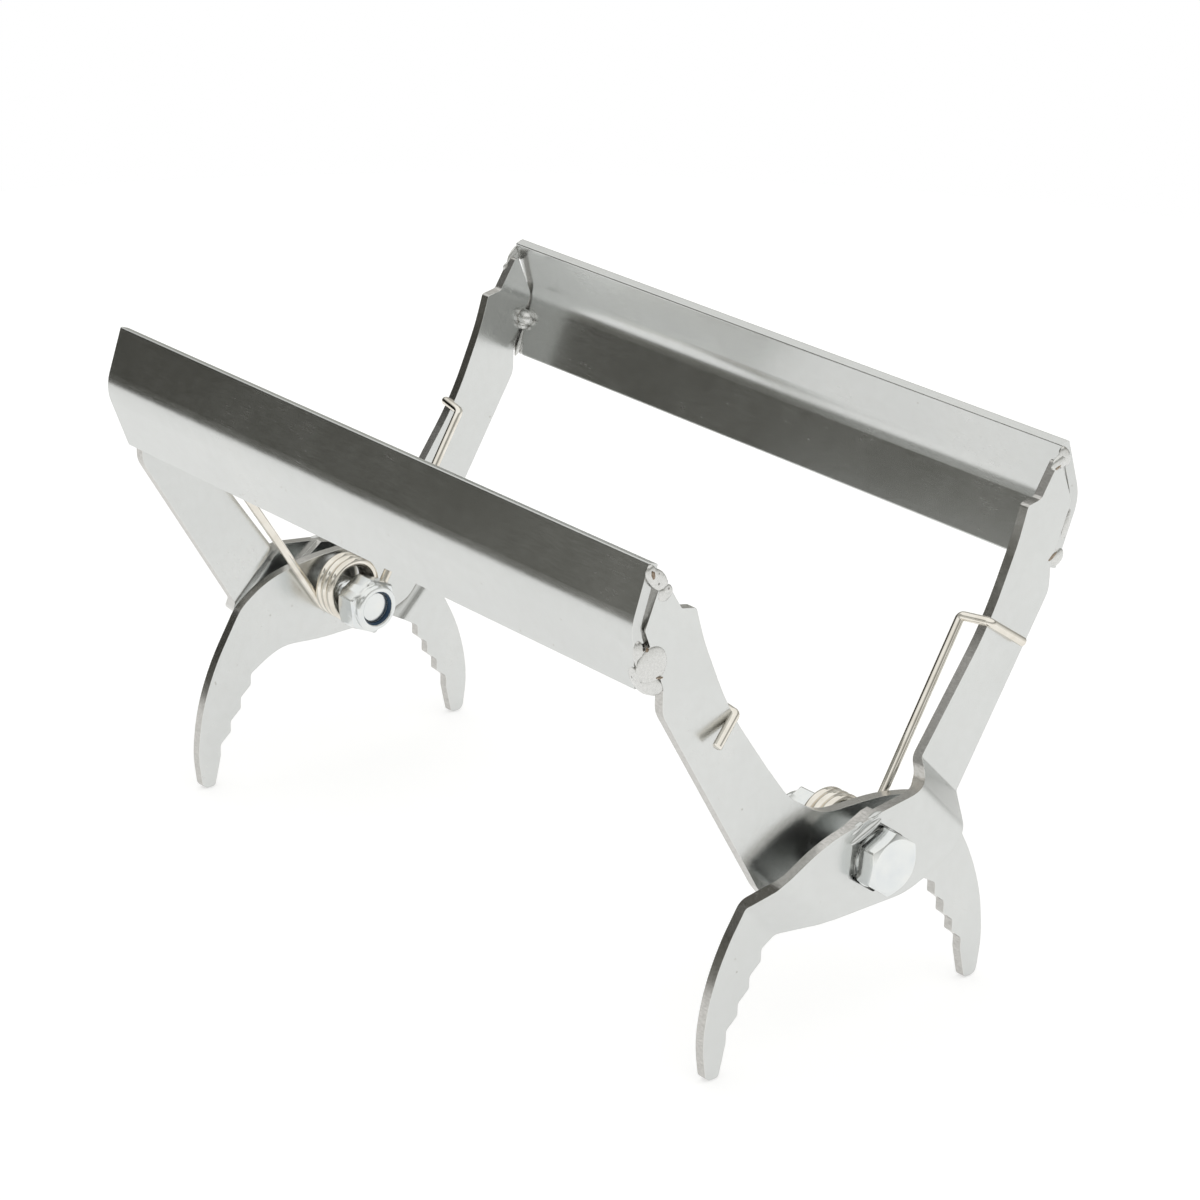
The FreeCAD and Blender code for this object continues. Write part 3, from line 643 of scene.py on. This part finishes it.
# At the far end the two lowest lumps are smaller, and hidden behind the bar.
FAR_OUTER_LUMPS = OUTER_LUMPS[:3] + [
    ((58.5, 1.1, 98.4), (1.5, 0.9, 1.7), -34, 4.0, 0.03),
    ((60.6, 3.0, 106.2), (1.9, 1.8, 2.4), 10, 5.0, 0.05),
    ((58.7, 2.6, 99.6), (0.8, 1.0, 3.2), 22, 11.0, 0.05),
]
OUTER_SCORCHES = [
    ((57.5, 0.0, 98.5), (1.5, 0.16, 0.40), -34, 41.0, 0.12),
    ((57.0, -0.3, 119.7), (0.9, 0.20, 0.30), -30, 42.0, 0.12),
]
INNER_LUMPS = [
    ((60.8, 0.4, 122.4), (1.4, 0.8, 2.2), 14, 6.0, 0.03),
    ((59.3, 0.2, 121.0), (1.9, 0.6, 3.5), 46, 7.0, 0.03),
    ((57.2, 0.1, 117.7), (2.0, 0.6, 1.8), 30, 8.0, 0.10),
    ((60.3, 0.1, 102.7), (4.1, 0.7, 4.1), 0, 9.0, 0.02),
    ((62.9, 0.9, 105.0), (1.5, 1.0, 3.6), 14, 16.0, 0.02),
    ((60.0, 0.3, 97.9), (3.4, 0.7, 1.9), -32, 10.0, 0.03),
    ((60.4, 3.0, 98.6), (1.5, 3.4, 3.8), 21, 12.0, 0.04),
    ((60.4, 3.6, 104.8), (2.3, 2.6, 2.1), 0, 13.0, 0.01),
    ((59.4, 3.2, 102.9), (1.4, 1.7, 1.2), 0, 14.0, 0.02),
    ((59.2, 2.6, 98.8), (0.8, 1.0, 4.2), 22, 15.0, 0.05),
]
INNER_SCORCHES = [
    ((60.9, -0.36, 122.5), (0.45, 0.15, 1.0), 12, 43.0, 0.15),
    ((61.9, -0.2, 106.5), (0.4, 0.25, 0.5), 0, 44.0, 0.15),
    ((58.4, -0.42, 99.5), (0.9, 0.15, 0.25), -6, 45.0, 0.15),
    ((61.4, 5.3, 103.4), (0.6, 0.5, 0.5), 0, 46.0, 0.10),
]


def join_lumps(lumps, side, seed_step):
    """Points and faces of several lumps at once, mirrored to this side of the mid-plane."""
    points = []
    faces = []
    for centre, half_sizes, lean, seed, rough in lumps:
        place = (centre[0] * side, centre[1], centre[2])
        more_points, more_faces = lump(place, half_sizes, lean * side, seed + seed_step, rough)
        faces += [tuple(index + len(points) for index in face) for face in more_faces]
        points += more_points
    return points, faces


def build_welds(side, end, lumps, scorches, materials):
    """Weld lumps where a bar end meets its lever, with small scorched spots on them."""
    direction = 1 if (side == "right") == (end == "near") else -1
    seed_step = 20 if end == "far" else 0
    points, faces = join_lumps(lumps, direction, seed_step)
    spot_points, spot_faces = join_lumps(scorches, direction, seed_step)
    plain_faces = len(faces)
    faces += [tuple(index + len(points) for index in face) for face in spot_faces]
    name = "%s_%s_weld_skin" % (side, end)
    piece = add_mesh(name, points + spot_points, faces, at_end(end), materials[0])
    piece.data.materials.append(materials[1])
    for polygon in piece.data.polygons[plain_faces:]:
        polygon.material_index = 1
    finish_piece(piece, side + "_half", "weld_metal", "%s_%s_welds" % (side, end))


def build_lip(side, end, material):
    """Metal pushed up along the recess's upper left wall, and on the lever's edge above it."""
    face = -7.6
    lumps = [
        ((-4.1, face, PIVOT_HEIGHT + 7.4), (4.8, 0.85, 1.05), -22, 31.0, 0.015),
        ((-6.6, face + 0.5, PIVOT_HEIGHT + 8.6), (2.2, 0.8, 0.9), -30, 32.0, 0.08),
        ((-1.2, face + 0.5, PIVOT_HEIGHT + 10.3), (2.0, 0.7, 0.6), -12, 33.0, 0.08),
    ]
    points, faces = join_lumps(lumps, 1, 5 if end == "far" else 0)
    piece = add_mesh("%s_%s_recess_lip" % (side, end), points, faces, at_end(end), material)
    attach(piece, side + "_half")


# ---------------------------------------------------------------- studio

def build_floor():
    """Plain white floor, bright enough to light the object from below."""
    steps = 64
    angles = [2 * math.pi * step / steps for step in range(steps)]
    points = [(FLOOR_RADIUS * math.cos(angle), FLOOR_RADIUS * math.sin(angle), 0) for angle in angles]
    material, shader = new_material("floor_white")
    shader.inputs["Base Color"].default_value = (0.62, 0.62, 0.62, 1)
    shader.inputs["Roughness"].default_value = 0.9
    shader.inputs["Specular IOR Level"].default_value = 0.0
    shader.inputs["Emission Color"].default_value = (1.0, 1.0, 1.0, 1)
    shader.inputs["Emission Strength"].default_value = 0.55
    below = Matrix.Translation((0, 0, -FLOOR_DROP))
    floor = add_mesh("floor", points, [tuple(range(steps))], below, material)


def build_backdrop():
    """White surround that only the camera sees, behind and beyond the floor."""
    steps = 24
    profile = [(BACKDROP_RADIUS * math.sin(math.pi * row / steps),
                BACKDROP_RADIUS * math.cos(math.pi * row / steps)) for row in range(1, steps)]
    points, faces = skin(turned(profile, 2 * steps))
    material, shader = new_material("backdrop_white")
    shader.inputs["Base Color"].default_value = (0, 0, 0, 1)
    shader.inputs["Specular IOR Level"].default_value = 0.0
    shader.inputs["Emission Color"].default_value = (1.0, 1.0, 1.0, 1)
    shader.inputs["Emission Strength"].default_value = 1.0
    dome = add_mesh("backdrop", points, faces, Matrix.Identity(4), material)
    dome.visible_diffuse = False
    dome.visible_glossy = False
    dome.visible_transmission = False
    dome.visible_shadow = False


def build_world():
    """Studio surround: bright overhead, with a dark side that the bars' flanges reflect."""
    world = bpy.data.worlds.new("studio")
    bpy.context.scene.world = world
    world.use_nodes = True
    world.node_tree.nodes.clear()
    output = add_node(world, "ShaderNodeOutputWorld")
    sky = add_node(world, "ShaderNodeBackground")
    world.node_tree.links.new(sky.outputs[0], output.inputs[0])
    place = add_node(world, "ShaderNodeTexCoord")
    split = add_node(world, "ShaderNodeSeparateXYZ", [("Vector", place.outputs["Generated"])])
    level = combine(world, "ADD", combine(world, "MULTIPLY", split.outputs["X"], 0.77),
                    combine(world, "MULTIPLY", split.outputs["Y"], 0.64))
    across = combine(world, "ADD", level, combine(world, "MULTIPLY", split.outputs["Z"], 0.35))
    side = ramp(world, span(world, across, -1, 1, 0, 1),
                [(0.20, (0.62, 0.62, 0.58)), (0.35, (0.50, 0.495, 0.46)), (0.385, (0.30, 0.297, 0.27)),
                 (0.41, (0.19, 0.188, 0.168)), (0.445, (0.185, 0.183, 0.163)),
                 (0.475, (0.122, 0.120, 0.105)), (0.49, (0.094, 0.092, 0.079)),
                 (0.505, (0.066, 0.064, 0.055)), (0.54, (0.073, 0.071, 0.061)),
                 (0.60, (0.010, 0.010, 0.008)), (0.70, (0.006, 0.006, 0.005)),
                 (0.87, (0.18, 0.18, 0.16)), (1.0, (0.45, 0.45, 0.42))])
    front = ramp(world, span(world, split.outputs["Y"], -1, 1, 0, 1), [(0.35, (1.0,)), (0.55, (0.0,))])
    table = ramp(world, span(world, split.outputs["Z"], -1, 1, 0, 1),
                 [(0.50, (0.95, 0.95, 0.93)), (0.56, (0.75, 0.75, 0.73)), (0.62, (0.55, 0.55, 0.53)),
                  (0.66, (0.26, 0.26, 0.24))])
    band = mixed(world, front, side, table)
    height = ramp(world, split.outputs["Z"], [(0.40, (0.0,)), (0.62, (1.0,))])
    colour = mixed(world, height, band, (1.05, 1.05, 1.03))
    world.node_tree.links.new(colour, sky.inputs["Color"])
    sky.inputs["Strength"].default_value = 1.0


def build_camera():
    """Camera at the photograph's viewing angle."""
    azimuth = math.radians(-40.75)
    elevation = math.radians(22.03)
    roll = math.radians(1.36)
    level = Vector((math.cos(azimuth), math.sin(azimuth), 0))
    back = Vector((math.sin(azimuth) * math.cos(elevation), -math.cos(azimuth) * math.cos(elevation),
                   math.sin(elevation)))
    up = back.cross(level)
    right = level * math.cos(roll) + up * math.sin(roll)
    above = up * math.cos(roll) - level * math.sin(roll)
    data = bpy.data.cameras.new("camera")
    data.lens = 114.03
    data.sensor_width = 36
    data.clip_start = 0.01
    data.clip_end = 50
    camera = bpy.data.objects.new("camera", data)
    bpy.context.scene.collection.objects.link(camera)
    turn = Matrix((right, above, back)).transposed().to_4x4()
    camera.matrix_world = Matrix.Translation((-0.5311, -0.6256, 0.4034)) @ turn
    bpy.context.scene.camera = camera


# ---------------------------------------------------------------- assembly

def main():
    """Finish the carried-over sheet parts, build the detailed pieces and the studio."""
    along_bar = sheet_steel("rolled_sheet_bars", (1, 0.10, 1), False, 0.96)
    along_lever = sheet_steel("rolled_sheet_levers", (0.8, 1, 0.45), True)
    plated = plated_steel()
    for name, node in NODES.items():
        if "handle_bar" in name:
            node.material_slots[0].material = along_bar
        elif "lever" in name:
            node.material_slots[0].material = along_lever
        elif "washer" in name or "spacer" in name:
            node.material_slots[0].material = plated
    wire = spring_wire()
    weld = (weld_metal(), scorched_metal())
    nylon = blue_nylon()
    for end, body in (("near", "right_half"), ("far", "left_half")):
        build_bolt(end, body, plated)
        build_nut(end, body, plated)
        build_insert(end, body, nylon)
        build_spring(end, wire)
    build_lip("right", "near", along_bar)
    build_lip("left", "far", along_bar)
    build_welds("right", "near", OUTER_LUMPS, OUTER_SCORCHES, weld)
    build_welds("left", "near", INNER_LUMPS, INNER_SCORCHES, weld)
    build_welds("left", "far", FAR_OUTER_LUMPS, OUTER_SCORCHES, weld)
    build_welds("right", "far", INNER_LUMPS, INNER_SCORCHES, weld)
    build_floor()
    build_backdrop()
    build_world()
    build_camera()
    bpy.context.scene.view_settings.view_transform = "Standard"


main()
